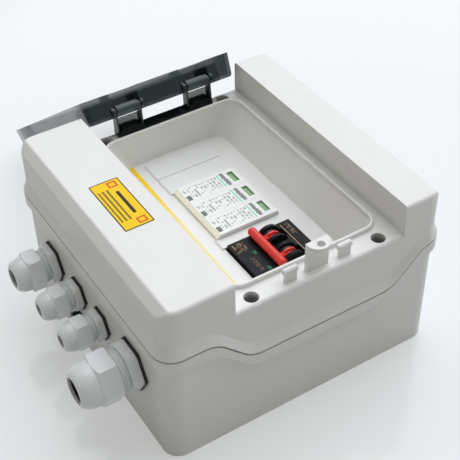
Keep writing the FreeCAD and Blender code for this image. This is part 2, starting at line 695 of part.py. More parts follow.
def make_breaker():
    """The switch: a round pocket with two rings per pole, and the bore of the handle's pin."""
    x0, x1 = BREAKER_X + FIT, BREAKER_X + BREAKER_W - FIT
    body = in_yz(device_profile(BREAKER_HEIGHT, NOSE / 2 - 0.2, NOSE / 2 + SLOT_GAP - 0.2), x0, x1)
    middles = pole_middles()
    body = terminals(body, middles, BREAKER_HEIGHT / 2)
    half = POCKET_W / 2
    for x in middles:
        for start in (x - half - RING_T, x + half):
            body = body.fuse(cylinder((start, PIVOT_Y, PIVOT_Z), (1, 0, 0), RING_R, RING_T))
        body = body.cut(cylinder((x - half, PIVOT_Y, PIVOT_Z), (1, 0, 0), RING_R + 1.6, POCKET_W))
    reach = half + RING_T + 0.2
    first, last = middles[0] - reach, middles[-1] + reach
    body = body.cut(cylinder((first, PIVOT_Y, PIVOT_Z), (1, 0, 0), PIN_R + PIN_CLEAR, last - first))
    nodes["breaker_body"] = body.removeSplitter()
    nodes["breaker_terminal_screws"] = terminal_screws(middles, BREAKER_HEIGHT / 2)


def make_handle():
    """Two drums with levers on one pin, joined by the tie bar, switched off."""
    middles = pole_middles()
    angle = math.radians(LEVER_ANGLE)
    tie_y = PIVOT_Y + LEVER_LEN * math.cos(angle)
    tie_z = PIVOT_Z + LEVER_LEN * math.sin(angle)
    solids = []
    for x in middles:
        start = x - (DRUM_W + LEVER_W) / 2
        split = start + DRUM_W
        drum = cylinder((start, PIVOT_Y, PIVOT_Z), (1, 0, 0), DRUM_R, DRUM_W)
        hub = cylinder((split, PIVOT_Y, PIVOT_Z), (1, 0, 0), HUB_R, LEVER_W)
        lever = box(split, split + LEVER_W, 0, LEVER_LEN, -LEVER_T / 2, LEVER_T / 2)
        lever.rotate(V(0, 0, 0), V(1, 0, 0), LEVER_ANGLE)
        lever.translate(V(0, PIVOT_Y, PIVOT_Z))
        solids += [drum, hub, lever]
    reach = POCKET_W / 2 + RING_T
    pin_x0, pin_x1 = middles[0] - reach, middles[-1] + reach
    solids.append(cylinder((pin_x0, PIVOT_Y, PIVOT_Z), (1, 0, 0), PIN_R, pin_x1 - pin_x0))
    bar_x0, bar_x1 = BREAKER_X - 0.5, BREAKER_X + BREAKER_W - 0.5
    bar = cylinder((bar_x0, tie_y, tie_z), (1, 0, 0), TIE_R, bar_x1 - bar_x0)
    for place, radius in ((bar_x0, 1.6), (bar_x1, 0.5)):
        rim = [e for e in bar.Edges if abs(e.BoundBox.XMin - place) + abs(e.BoundBox.XMax - place) < 0.02]
        bar = bar.makeFillet(radius, rim)
    handle = bar.fuse(solids)
    nodes["breaker_handle"] = handle.removeSplitter()


def make_blank(name, x0, x1, groove):
    """A blanking strip that closes unused modules of the cut-out."""
    _, _, y0, y1 = cutout()
    top = TUB_FLOOR + 1.1
    left = y0 - 2.0
    strip = in_yz([(left, TUB_FLOOR), (y1 - 0.2, TUB_FLOOR), (y1 - 0.2, top - 0.4), (y1 - 0.6, top),
                   (left + 0.8, top), (left, top - 0.8)], x0, x1)
    for y in (y0 + 0.2, y1 - 1.6):
        strip = strip.fuse(box(x0 + 1, x1 - 1, y, y + 1.4, TUB_FLOOR - 5, TUB_FLOOR + 0.5))
    if groove:
        middle = (x0 + x1) / 2
        strip = strip.cut(box(middle - 0.35, middle + 0.35, left - 1, y1 + 1, top - 0.5, top + 1))
    nodes[name] = strip.removeSplitter()


def make_blanks():
    gap = 0.3
    make_blank("hinge_side_blank", ROW_START + gap, SPD_X - gap, True)
    make_blank("middle_blank", SPD_X + 3 * MODULE + gap, BREAKER_X - gap, False)
    make_blank("lock_side_blank", BREAKER_X + BREAKER_W + gap, ROW_END - gap, False)


def hinge_middles():
    return (CHANNEL_Y - HINGE_SIDE, CHANNEL_Y + HINGE_SIDE)


def make_hinge_bracket():
    """Black strip with two foot blocks on the channel, and the clear legs that carry the pins."""
    first, last = hinge_middles()
    leg_in = BARREL_W / 2 + LEG_GAP
    leg_out = leg_in + LEG_T
    foot, roof = CHANNEL_TOP, CHANNEL_TOP + BLOCK_H
    bracket = box(STRIP_X0, STRIP_X1, first - leg_out, last + leg_out, foot, foot + STRIP_T)
    for middle in (first, last):
        low, high = middle - leg_out, middle + leg_out
        side = foot + STRIP_T + 0.8
        block = [(low, foot), (high, foot), (high, side), (high - BLOCK_SLOPE, roof),
                 (low + BLOCK_SLOPE, roof), (low, side)]
        bracket = bracket.fuse(in_yz(block, STRIP_X0, STRIP_X1))
    legs = []
    outline = [(STRIP_X0 + 0.4, foot + 1), (STRIP_X1 - 0.6, foot + 1), (HINGE_X + LEG_EYE_R, HINGE_Z),
               (HINGE_X - LEG_EYE_R + 0.2, HINGE_Z)]
    for middle in (first, last):
        web = box(HINGE_X - 1.6, HINGE_X - 0.6, middle - leg_in - 0.5, middle + leg_in + 0.5,
                  foot + 1, HINGE_Z - BARREL_R - WEB_GAP)
        pair = []
        for y in (middle - leg_out, middle + leg_in):
            eye = cylinder((HINGE_X, y, HINGE_Z), (0, 1, 0), LEG_EYE_R, LEG_T)
            pair += [in_xz(outline, y, y + LEG_T), eye]
        yoke = web.fuse(pair).cut(bracket)
        bore_start = (HINGE_X, middle - leg_out - 1, HINGE_Z)
        bore = cylinder(bore_start, (0, 1, 0), PIN_R + PIN_CLEAR, 2 * leg_out + 2)
        legs.append(yoke.cut(bore).removeSplitter())
    nodes["hinge_bracket"] = bracket.removeSplitter()
    nodes["hinge_legs"] = Part.makeCompound(legs)


def opened(shape):
    """The door's pieces are shaped shut and then swung open."""
    turned = shape.copy()
    turned.rotate(V(HINGE_X, 0, HINGE_Z), V(0, -1, 0), OPEN_ANGLE)
    return turned


def door_tray():
    length = DOOR_X1 - DOOR_X0
    middle = (DOOR_X0 + DOOR_X1) / 2
    lean_x, lean_y = 2 * DOOR_LEAN_X, 2 * DOOR_LEAN
    outside = frustum((length, DOOR_W, 4.0, DOOR_RIM_Z), (length - lean_x, DOOR_W - lean_y, 3.4, DEPTH),
                      middle, CHANNEL_Y)
    top = [e for e in outside.Edges if e.BoundBox.ZMin > DEPTH - 0.01]
    outside = outside.makeFillet(DOOR_EDGE_R, top)
    t = 2 * DOOR_T
    inside = frustum((length - t, DOOR_W - t, 2.0, DOOR_RIM_Z - 0.01),
                     (length - lean_x - t, DOOR_W - lean_y - t, 1.6, DEPTH - DOOR_T), middle, CHANNEL_Y)
    return outside.cut(inside)


def make_door():
    door = door_tray()
    rib_in = BARREL_W / 2 + 2 * LEG_GAP + LEG_T
    rib_out = rib_in + RIB_T
    pins = []
    for middle in hinge_middles():
        door = door.cut(box(DOOR_X0 - 1, NOTCH_X, middle - rib_out, middle + rib_out, DOOR_RIM_Z - 1, FAR))
        barrel = cylinder((HINGE_X, middle - BARREL_W / 2, HINGE_Z), (0, 1, 0), BARREL_R, BARREL_W)
        web = box(HINGE_X, NOTCH_X + 1, middle - BARREL_W / 2, middle + BARREL_W / 2, DEPTH - DOOR_T, DEPTH)
        pieces = [barrel, web]
        for side in (-1, 1):
            y = middle + side * (rib_in + rib_out) / 2 - RIB_T / 2
            outline = [(DOOR_X0, DOOR_RIM_Z), (NOTCH_X + 1, DOOR_RIM_Z), (NOTCH_X + 1, DEPTH),
                       (HINGE_X, DEPTH), (DOOR_X0 + DOOR_LEAN_X, HINGE_Z)]
            rib = in_xz(outline, y, y + RIB_T)
            eye = cylinder((HINGE_X, y, HINGE_Z), (0, 1, 0), BARREL_R, RIB_T)
            pieces += [rib, eye]
        cross = box(NOTCH_X - 0.5, NOTCH_X + DOOR_T, middle - rib_out, middle + rib_out,
                    DOOR_RIM_Z, DEPTH - 0.5)
        pieces.append(cross)
        door = door.fuse(pieces)
        bore = cylinder((HINGE_X, middle - rib_out - 1, HINGE_Z), (0, 1, 0), PIN_R, 2 * rib_out + 2)
        door = door.cut(bore)
        pins.append(cylinder((HINGE_X, middle - rib_out, HINGE_Z), (0, 1, 0), PIN_R, 2 * rib_out))
    nodes["window_door"] = opened(door.removeSplitter())
    nodes["hinge_pins"] = opened(Part.makeCompound(pins))


def revolve_y(points, x, z):
    """Turn a closed (radius, y) outline about a gland's axis."""
    outline = [V(x + r, y, z) for r, y in points]
    face = Part.Face(Part.makePolygon(outline + [outline[0]]))
    return face.revolve(V(x, 0, z), V(0, 1, 0), 360)


def make_gland(number, gland):
    """Body, washer, lock nut, rubber insert and cap nut of one cable gland."""
    x, z, thread = gland["x"], gland["z"], gland["thread"] / 2
    flats, hole, reach = FLATS * gland["thread"], gland["hole"] / 2, gland["reach"]
    inside = -HALF_Y + WALL
    neck = thread + 0.3
    bore = max(hole + 1.6, thread - 2.6)
    front = -HALF_Y - reach
    flange_y = -HALF_Y - WASHER_T
    flange_front = flange_y - FLANGE_SHARE * reach
    nut_back = flange_front - NECK_SHARE * reach
    body_front = front + 0.42 * (nut_back - front)
    insert_front = front + NUT_FRONT_T + 0.4
    wide = 0.55 * flats
    body = hexagon(flats, x, z, flange_y, flange_y - flange_front)
    rounded = [(0, flange_y), (wide, flange_y), (wide, flange_front + 1.2), (0.5 * flats, flange_front),
               (0, flange_front)]
    body = body.common(revolve_y(rounded, x, z))
    neck_bar = cylinder((x, body_front, z), (0, 1, 0), neck, flange_front - body_front)
    stub = cylinder((x, flange_y, z), (0, 1, 0), thread, inside + STUB_IN - flange_y)
    body = body.fuse([neck_bar, stub])
    body = body.cut(cylinder((x, front, z), (0, 1, 0), bore, FAR))
    nodes[f"gland_{number}_body"] = body.removeSplitter()
    washer = hexagon(flats + 0.6, x, z, -HALF_Y, WASHER_T)
    nodes[f"gland_{number}_washer"] = washer.cut(cylinder((x, flange_y, z), (0, 1, 0), thread, WASHER_T))
    lock = hexagon(flats, x, z, inside + LOCKNUT_T, LOCKNUT_T)
    nodes[f"gland_{number}_locknut"] = lock.cut(cylinder((x, inside, z), (0, 1, 0), thread, LOCKNUT_T))
    insert = cylinder((x, insert_front, z), (0, 1, 0), bore, flange_front - insert_front)
    nodes[f"gland_{number}_insert"] = insert.cut(cylinder((x, front, z), (0, 1, 0), hole, FAR))
    make_cap_nut(number, gland, front, nut_back, body_front)


def make_cap_nut(number, gland, front, nut_back, body_front):
    """Hexagon behind, a dome in front, hollow over the body and the insert."""
    x, z, hole = gland["x"], gland["z"], gland["hole"] / 2
    thread, flats = gland["thread"] / 2, FLATS * gland["thread"]
    neck, bore = thread + 0.3, max(hole + 1.6, thread - 2.6)
    corner = flats / math.sqrt(3)
    hex_front = front + 0.5 * (nut_back - front)
    dome_r = 0.485 * flats
    dome_y = hex_front - 0.7
    face_r = hole + 1.2
    outline = [(0, nut_back), (corner - 0.8, nut_back), (corner, nut_back - 0.8), (corner, hex_front + 1.2),
               (0.5 * flats, hex_front - 0.3), (dome_r, dome_y)]
    steps = 7
    for k in range(1, steps + 1):
        turn = math.pi / 2 * k / steps
        outline.append((face_r + (dome_r - face_r) * math.cos(turn),
                        dome_y - (dome_y - front) * math.sin(turn)))
    outline.append((0, front))
    nut = hexagon(flats, x, z, nut_back, nut_back - hex_front + 1.5)
    barrel = [(0, hex_front + 1.5), (dome_r, hex_front + 1.5), (dome_r, front - 1), (0, front - 1)]
    nut = nut.fuse(revolve_y(barrel, x, z)).common(revolve_y(outline, x, z))
    step = front + NUT_FRONT_T
    hollow = [(0, nut_back + 1), (neck + 0.08, nut_back + 1), (neck + 0.08, body_front - 0.6),
              (bore + 0.3, step), (hole + 0.4, step), (hole + 0.4, front - 1), (0, front - 1)]
    nut = nut.cut(revolve_y(hollow, x, z))
    nodes[f"gland_{number}_cap_nut"] = nut.removeSplitter()


def make_vent():
    """Small breather plug, low on the gland wall, with its nut inside."""
    wall_out, wall_in = -HALF_Y, -HALF_Y + WALL
    head = cylinder((VENT_X, wall_out, VENT_Z), (0, -1, 0), VENT_HEAD_D / 2, 5.5)
    front = [e for e in head.Edges if e.BoundBox.YMax < wall_out - 5]
    head = head.makeFillet(1.2, front)
    for k in range(8):
        angle = math.radians(45 * k)
        away = VENT_HEAD_D / 2 + 0.4
        groove = cylinder((VENT_X + away * math.cos(angle), wall_out - 6, VENT_Z + away * math.sin(angle)),
                          (0, 1, 0), 1.2, 4.6)
        head = head.cut(groove)
    stub = cylinder((VENT_X, wall_out, VENT_Z), (0, 1, 0), VENT_D / 2, WALL + 5)
    nodes["vent_plug"] = head.fuse(stub).removeSplitter()
    nut = hexagon(13.0, VENT_X, VENT_Z, wall_in + 3.5, 3.5)
    nodes["vent_nut"] = nut.cut(cylinder((VENT_X, wall_in, VENT_Z), (0, 1, 0), VENT_D / 2, 3.5))


def main():
    make_base()
    make_cover()
    make_seal()
    make_cover_screws()
    make_earth_bar()
    make_rail()
    make_spd()
    make_breaker()
    make_handle()
    make_blanks()
    make_hinge_bracket()
    make_door()
    for number, gland in GLANDS.items():
        make_gland(number, gland)
    make_vent()
    os.makedirs("parts", exist_ok=True)
    for name, shape in nodes.items():
        shape.exportStep(f"parts/{name}.step")
        solids = len(shape.Solids)
        print(f"{name:26s} solids {solids} valid {shape.isValid()} volume {shape.Volume / 1000:.2f} cm3")


main()
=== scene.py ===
"""Finishes, printed fields, small parts, stage and camera for a combiner box with an open window door.

Lengths are in metres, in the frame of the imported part: +X lock side, -X hinge side, +Y top side,
-Y cable side, +Z out of the cover.
"""

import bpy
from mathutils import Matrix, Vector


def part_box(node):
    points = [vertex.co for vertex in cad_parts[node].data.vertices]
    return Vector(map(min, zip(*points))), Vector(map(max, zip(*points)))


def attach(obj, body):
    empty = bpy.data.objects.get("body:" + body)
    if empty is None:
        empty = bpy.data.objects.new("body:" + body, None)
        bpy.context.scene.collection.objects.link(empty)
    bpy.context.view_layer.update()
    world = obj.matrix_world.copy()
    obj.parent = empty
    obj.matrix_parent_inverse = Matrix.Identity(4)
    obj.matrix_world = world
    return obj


bl_info = {
    "name": "Combiner Box",
    "version": (1, 0, 0),
    "blender": (4, 5, 0),
    "location": "View3D > Sidebar > Combiner Box",
    "description": "Dresses a packed combiner box with its finishes and small details",
    "category": "Object",
}

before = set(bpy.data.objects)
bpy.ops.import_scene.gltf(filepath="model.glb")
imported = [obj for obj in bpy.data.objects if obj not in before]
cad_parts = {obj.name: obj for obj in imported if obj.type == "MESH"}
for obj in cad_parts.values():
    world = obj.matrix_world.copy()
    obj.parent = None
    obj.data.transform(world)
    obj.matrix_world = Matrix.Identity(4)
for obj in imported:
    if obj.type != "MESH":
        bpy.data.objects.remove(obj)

import math

import bpy
from bpy.props import FloatProperty, FloatVectorProperty, IntProperty, PointerProperty
from mathutils import Matrix, Vector

MM = 0.001
FACE_Z = 80.5 * MM
ARRESTER_Z = 81.7 * MM
HINGE_X = -90.5 * MM
HINGE_Z = 117.2 * MM
TUB_FLOOR = 77.6 * MM
CHANNEL_Y = 8 * MM
CHANNEL_TOP = 99.5 * MM
SCREW_X = 86.4 * MM
SCREW_Y = 44.8 * MM
WELL_R = 4.7 * MM
WELL_SHADE_Z = (CHANNEL_TOP - 5 * MM, CHANNEL_TOP - 0.5 * MM)
PIVOT_Y = 13 * MM
PIVOT_Z = 77.5 * MM
WING_TOP = 121 * MM
GLANDS = (1, 2, 3, 4)
ARRESTERS = (1, 2, 3)
NECKS = {1: 10.3 * MM, 2: 8.3 * MM, 3: 8.3 * MM, 4: 12.8 * MM}
DOOR_OPEN = math.radians(217.2)
HINGE_MIDDLE = 26.7 * MM
PLATE_X = -1.5 * MM
PLATE_Y = -69.95 * MM
ROOM_WHITE = (0.8, 0.8, 0.8)
FLOOR_SIZE = 16.0
KEY_DIRECTION = (-0.35, 0.6, 1.0)
SMALL_DIRECTION = (-0.47, -0.59, 0.64)
SMALL_SPREAD = math.radians(5)
FRONT_DIRECTION = (1.0, 0.6, 0.2)
FRONT_SPREAD = math.radians(60)
CAMERA_PLACE = (0.43595, -0.26611, 0.5188)
CAMERA_RIGHT = (0.53656, 0.84375, -0.01405)
CAMERA_VIEW = (-0.63733, 0.39426, -0.6621)
SENSOR = 36.0


def colour(name, description, value):
    return FloatVectorProperty(name=name, description=description, subtype="COLOR", size=3,
                               min=0.0, max=1.0, default=value)


def length(name, description, value):
    return FloatProperty(name=name, description=description, unit="LENGTH", precision=5,
                         min=0.0, default=value)


def factor(name, description, value):
    return FloatProperty(name=name, description=description, subtype="FACTOR", min=0.0, max=1.0,
                         default=value)


class HousingLook(bpy.types.PropertyGroup):
    shell: colour("Housing", "Light grey plastic of the base and the cover", (0.76, 0.755, 0.735))
    # Painted shade: this colour darkens the housing down inside the screw wells.
    painted_well_shade: colour("Screw wells", "Dim plastic down in the screw wells", (0.33, 0.345, 0.33))
    blanks: colour("Blanking strips", "Strips that close unused modules", (0.735, 0.74, 0.725))
    grain: length("Grain size", "Size of the moulded grain", 0.5 * MM)
    roughness: factor("Roughness", "Roughness of the housing plastic", 0.42)


class GlandLook(bpy.types.PropertyGroup):
    plastic: colour("Gland plastic", "Cool light grey of the cable glands", (0.76, 0.785, 0.79))
    rubber: colour("Rubber", "Washers, inserts and the cover seal", (0.018, 0.018, 0.019))
    pitch: length("Thread pitch", "Distance between the thread turns", 1.5 * MM)
    ridge: length("Ridge height", "Height of a thread turn", 0.8 * MM)
    steps: IntProperty(name="Steps a turn", description="Steps in one turn of the thread",
                       default=56, min=12)


class DoorLook(bpy.types.PropertyGroup):
    smoke: colour("Smoke", "Tint of the window door", (0.10, 0.135, 0.145))
    edge: colour("Thick edges", "Tint where the door is seen through much of its plastic",
                 (0.006, 0.017, 0.020))
    # Painted sheen: the barrels' colour is lighter than the thick edges and stands in for their broad
    # highlight.
    barrel_sheen: colour("Barrels", "Greyer tint of the round hinge barrels", (0.035, 0.05, 0.055))
    web: colour("Web", "Tint of the thin web between the hinge legs", (0.10, 0.125, 0.125))
    cover: factor("Cover", "How much of what is behind the door its plate hides", 0.3)
    hinge: colour("Hinge plastic", "Black plastic of the hinge bracket and the vent",
                  (0.006, 0.008, 0.009))


class DeviceLook(bpy.types.PropertyGroup):
    white: colour("Arrester", "White plastic of the surge arresters", (0.80, 0.80, 0.775))
    black: colour("Switch body", "Black plastic of the switch", (0.010, 0.011, 0.013))
    red: colour("Switch handle", "Red plastic of the levers and their bar", (0.72, 0.042, 0.03))
    cream: colour("Bevel", "Cream edge of the arresters on the cable side", (0.97, 0.92, 0.74))
    mint: colour("Mint line", "Printed line under the flag window", (0.13, 0.68, 0.42))
    gold: colour("Gold print", "Print on the switch body", (0.52, 0.33, 0.15))
    flag: colour("Arrester flag", "Flag behind the arrester window", (0.16, 0.38, 0.13))
    ready: colour("Switch flag", "Position flags on the switch", (0.0, 0.17, 0.065))
    ink: colour("Grey print", "Small print on the arresters", (0.09, 0.10, 0.10))


class PlateLook(bpy.types.PropertyGroup):
    yellow: colour("Yellow", "Plain yellow plate and strip", (0.93, 0.61, 0.004))
    pale: colour("Faded yellow", "Lock-side end of the strip", (0.86, 0.72, 0.30))
    border: colour("Border", "Dark border and bars of the plate", (0.03, 0.022, 0.02))
    mark: colour("Marks", "Plain orange marks at the ends of the plate", (0.72, 0.11, 0.02))
    plate: length("Plate length", "Length of the plate", 47 * MM)
    width: length("Plate width", "Width of the plate", 19.1 * MM)
    thick: length("Foil thickness", "Thickness of the plate and the strip", 0.12 * MM)


class StageLook(bpy.types.PropertyGroup):
    floor: colour("Floor", "Colour of the floor that the camera sees", (0.44, 0.455, 0.46))
    glow: colour("Floor glow", "Light that the floor gives of itself to the camera", (0.352, 0.357, 0.352))
    bounce: factor("Floor bounce", "How much light the floor throws back on the box", 0.62)
    sky: FloatProperty(name="Sky", description="Level of the soft light from all round",
                       default=0.3, min=0.0)
    sun: FloatProperty(name="Key light", description="Level of the soft light from above",
                       default=2.9, min=0.0)
    room: FloatProperty(name="Room", description="Level of the room in reflections", default=0.6, min=0.0)
    small: FloatProperty(name="Small light", description="Level of the small lamp on the cable side",
                         default=0.12, min=0.0)
    front: FloatProperty(name="Front light", description="Level of the faint cool light on the lock side",
                         default=0.13, min=0.0)
    blue: colour("Front colour", "Cool light on the lock side", (0.66, 0.86, 1.0))
    backdrop: colour("Backdrop", "Colour of the room where the camera sees past the floor",
                     (0.88, 0.91, 0.92))
    warm: colour("Sky colour", "Slightly warm light from all round", (1.0, 0.972, 0.858))
    cool: colour("Key colour", "Slightly cool light from above", (0.896, 0.929, 1.0))
    spread: FloatProperty(name="Key spread", description="Width of the key light", subtype="ANGLE",
                          default=math.radians(80), min=0.0)
    lens: FloatProperty(name="Lens", description="Focal length of the camera in mm",
                        default=83.07, min=10.0)


LOOKS = {
    "box_housing": HousingLook, "box_glands": GlandLook, "box_door": DoorLook,
    "box_devices": DeviceLook, "box_plate": PlateLook, "box_stage": StageLook,
}


class Value:
    """A shader socket that adds Math nodes when it is used in an expression."""

    def __init__(self, finish, socket):
        self.finish = finish
        self.socket = socket

    def math(self, operation, *others):
        node = self.finish.add("Math", {"operation": operation}, {0: self, **dict(enumerate(others, 1))})
        return node[0]

    def __add__(self, other):
        return self.math("ADD", other)

    def __sub__(self, other):
        return self.math("SUBTRACT", other)

    def __rsub__(self, other):
        return self.finish.add("Math", {"operation": "SUBTRACT"}, {0: other, 1: self})[0]

    def __mul__(self, other):
        return self.math("MULTIPLY", other)

    def __lt__(self, other):
        return self.math("LESS_THAN", other)

    def __gt__(self, other):
        return self.math("GREATER_THAN", other)

    def __abs__(self):
        return self.math("ABSOLUTE")

    def between(self, low, high):
        """1 between two numbers, 0 outside."""
        return abs(self - (low + high) / 2) < (high - low) / 2

    def floor(self):
        return self.math("FLOOR")

    def fraction(self):
        return self.math("FRACT")

    def either(self, other):
        """The larger of two masks."""
        return self.math("MAXIMUM", other)

    def smooth(self, low, high):
        """0 below low, 1 above high, with an even rise between them."""
        span = {"Value": self, "From Min": low, "From Max": high}
        return self.finish.add("MapRange", {"interpolation_type": "SMOOTHSTEP"}, span)[0]


class Node:
    """A shader node whose outputs are read by number or name."""

    def __init__(self, finish, node):
        self.finish = finish
        self.node = node

    def __getitem__(self, key):
        return Value(self.finish, self.node.outputs[key])


class Finish:
    """A material with one Principled shader and the nodes that feed it."""

    def __init__(self, name, **fixed):
        self.material = bpy.data.materials.new(name)
        self.material.use_nodes = True
        self.tree = self.material.node_tree
        self.tree.nodes.clear()
        self.shader = self.tree.nodes.new("ShaderNodeBsdfPrincipled")
        output = self.tree.nodes.new("ShaderNodeOutputMaterial")
        self.tree.links.new(self.shader.outputs[0], output.inputs[0])
        for key, value in fixed.items():
            self.shader.inputs[key.replace("_", " ")].default_value = value
        self.place = self.add("TexCoord")["Object"]
        split = self.add("SeparateXYZ", {}, {0: self.place})
        self.x, self.y, self.z = split[0], split[1], split[2]

    def add(self, kind, settings=None, inputs=None):
        """Add a shader node: its type, its settings, and the values or links of its sockets."""
        node = self.tree.nodes.new("ShaderNode" + kind)
        for key, value in (settings or {}).items():
            setattr(node, key, value)
        for key, value in (inputs or {}).items():
            socket = node.inputs[key]
            if isinstance(value, Value):
                self.tree.links.new(value.socket, socket)
            elif socket.type == "RGBA":
                socket.default_value = (*value, 1.0)
            else:
                socket.default_value = value
        return Node(self, node)

    def feed(self, name, value):
        """Link a value to one of the Principled shader's sockets."""
        self.tree.links.new(value.socket, self.shader.inputs[name])

    def noise(self, size, detail=2.0, low=0.0, high=1.0):
        """Noise with features of one size, from 0 to 1, or stretched between two numbers."""
        raw = self.add("TexNoise", {}, {"Vector": self.place, "Scale": 1 / size, "Detail": detail})[0]
        if (low, high) == (0.0, 1.0):
            return raw
        return self.add("MapRange", {}, {"Value": raw, "From Min": 0.3, "From Max": 0.7,
                                         "To Min": low, "To Max": high})[0]

    def mix(self, first, second, mask):
        """The first colour where the mask is 0 and the second where it is 1."""
        return self.add("Mix", {"data_type": "RGBA"}, {6: first, 7: second, 0: mask})[2]

    def scatter(self, x, y, cells, rows):
        """A random number from 0 to 1 for each cell of print; cells and rows are counted per metre."""
        cell = self.add("CombineXYZ", {}, {0: (x * cells).floor(), 1: (y * rows).floor()})[0]
        return self.add("TexWhiteNoise", {"noise_dimensions": "2D"}, {"Vector": cell})[0]

    def bump(self, height, depth):
        """Bump from a height that runs from 0 to 1 over a depth in metres."""
        node = self.add("Bump", {}, {"Strength": 1.0, "Distance": depth, "Height": height})
        self.feed("Normal", node[0])


def field(x, y, across, along):
    """1 inside a rectangle of print that is given by its two spans, 0 outside."""
    return y.between(*along) * x.between(*across)


def shade(base, amount):
    """The colour a little darker or lighter."""
    return tuple(min(1.0, c * amount) for c in base)


def moulded(name, base, roughness, grain=0.5 * MM, depth=0.012 * MM, uneven=0.03, painted_well_shade=None):
    """Injection-moulded plastic with a fine grain and a slightly uneven tone, with painted shade that
    darkens the screw wells towards their bottoms.
    """
    finish = Finish(name)
    tone = finish.mix(shade(base, 1 - uneven), shade(base, 1 + uneven), finish.noise(30 * MM, 3.0))
    # Painted shade: inside the screw wells the tone turns to the well colour, more so further down.
    if painted_well_shade is not None:
        across = abs(finish.x) - SCREW_X
        along = abs(finish.y - CHANNEL_Y) - SCREW_Y
        inside = (across * across + along * along).math("SQRT") < WELL_R
        well_shade_depth = 1 - finish.z.smooth(*WELL_SHADE_Z)
        tone = finish.mix(tone, painted_well_shade, inside * well_shade_depth)
    finish.feed("Base Color", tone)
    finish.feed("Roughness", finish.noise(6 * MM, 4.0, roughness - 0.04, roughness + 0.04))
    finish.bump(finish.noise(grain, 2.0), depth)
    return finish


def machined(name, base, roughness, stretch):
    """Metal with fine marks drawn out along one direction."""
    finish = Finish(name, Metallic=1.0)
    turned = finish.add("Mapping", {}, {"Vector": finish.place, "Scale": stretch})[0]
    marks = finish.add("TexNoise", {}, {"Vector": turned, "Scale": 900.0, "Detail": 3.0})[0]
    finish.feed("Base Color", finish.mix(shade(base, 0.86), shade(base, 1.08), marks))
    finish.feed("Roughness", marks * 0.2 + (roughness - 0.1))
    finish.bump(marks, 0.01 * MM)
    return finish


def dress(finish, *nodes):
    """Give CAD nodes a finish in place of the plain one they came with."""
    for name in nodes:
        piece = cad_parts[name]
        piece.data.materials.clear()
        piece.data.materials.append(finish.material)


def settings(name):
    return getattr(bpy.context.scene, name)


def fresh(add, **how):
    """Add a primitive on its own and return its object."""
    if bpy.context.mode != "OBJECT":
        bpy.ops.object.mode_set(mode="OBJECT")
    bpy.ops.object.select_all(action="DESELECT")
    add(**how)
    return bpy.context.object


def edit(piece):
    """Open a piece in edit mode with its whole mesh selected."""
    bpy.ops.object.select_all(action="DESELECT")
    bpy.context.view_layer.objects.active = piece
    piece.select_set(True)
    bpy.ops.object.mode_set(mode="EDIT")
    bpy.ops.mesh.select_all(action="SELECT")


def settle(piece, name, material, body, smooth=None):
    """Put a piece's place in its mesh, name it, give it a material and let it ride on its body."""
    if bpy.context.mode != "OBJECT":
        bpy.ops.object.mode_set(mode="OBJECT")
    bpy.ops.object.select_all(action="DESELECT")
    bpy.context.view_layer.objects.active = piece
    piece.select_set(True)
    bpy.ops.object.transform_apply(location=True, rotation=True, scale=True)
    if smooth is not None:
        bpy.ops.object.shade_smooth_by_angle(angle=math.radians(smooth))
    piece.name = name
    piece.data.name = name
    piece.data.materials.clear()
    piece.data.materials.append(material)
    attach(piece, body)


def foil(x0, x1, y0, y1, z, thick, radius, skew=0.0):
    """A thin foil with rounded corners on the surface at z; skew leans its +Y edge towards -Y along +X."""
    middle = ((x0 + x1) / 2, (y0 + y1) / 2, z)
    piece = fresh(bpy.ops.mesh.primitive_plane_add, size=1.0, location=middle)
    piece.scale = (x1 - x0, y1 - y0, 1.0)
    bpy.ops.object.transform_apply(location=False, rotation=False, scale=True)
    for vertex in piece.data.vertices:
        if vertex.co.y > 0:
            vertex.co.y -= skew * vertex.co.x / (x1 - x0)
    edit(piece)
    bpy.ops.mesh.bevel(offset=radius, segments=4, affect="VERTICES")
    bpy.ops.mesh.extrude_region_move(TRANSFORM_OT_translate={"value": (0, 0, thick)})
    bpy.ops.mesh.select_all(action="SELECT")
    bpy.ops.mesh.normals_make_consistent(inside=False)
    bpy.ops.object.mode_set(mode="OBJECT")
    return piece


class COMBINER_OT_housing(bpy.types.Operator):
    """Finish the base, the cover and the blanking strips."""
    bl_idname = "combiner.housing"
    bl_label = "Housing"

    def execute(self, context):
        look = settings("box_housing")
        shell = moulded("housing_plastic", look.shell, look.roughness, look.grain, painted_well_shade=look.painted_well_shade)
        dress(shell, "base_shell", "cover_shell")
        strips = moulded("strip_plastic", look.blanks, look.roughness - 0.05, look.grain)
        dress(strips, "hinge_side_blank", "middle_blank", "lock_side_blank")
        return {"FINISHED"}


class COMBINER_OT_glands(bpy.types.Operator):
    """Finish the cable glands and the rubber parts."""
    bl_idname = "combiner.glands"
    bl_label = "Cable glands"

    def execute(self, context):
        look = settings("box_glands")
        nylon = moulded("gland_nylon", look.plastic, 0.24, 1.2 * MM, 0.008 * MM, 0.02)
        rubber = moulded("seal_rubber", look.rubber, 0.6, 0.4 * MM, 0.01 * MM, 0.2)
        for k in GLANDS:
            dress(nylon, f"gland_{k}_body", f"gland_{k}_locknut", f"gland_{k}_cap_nut")
            dress(rubber, f"gland_{k}_washer", f"gland_{k}_insert")
        dress(rubber, "cover_seal")
        return {"FINISHED"}


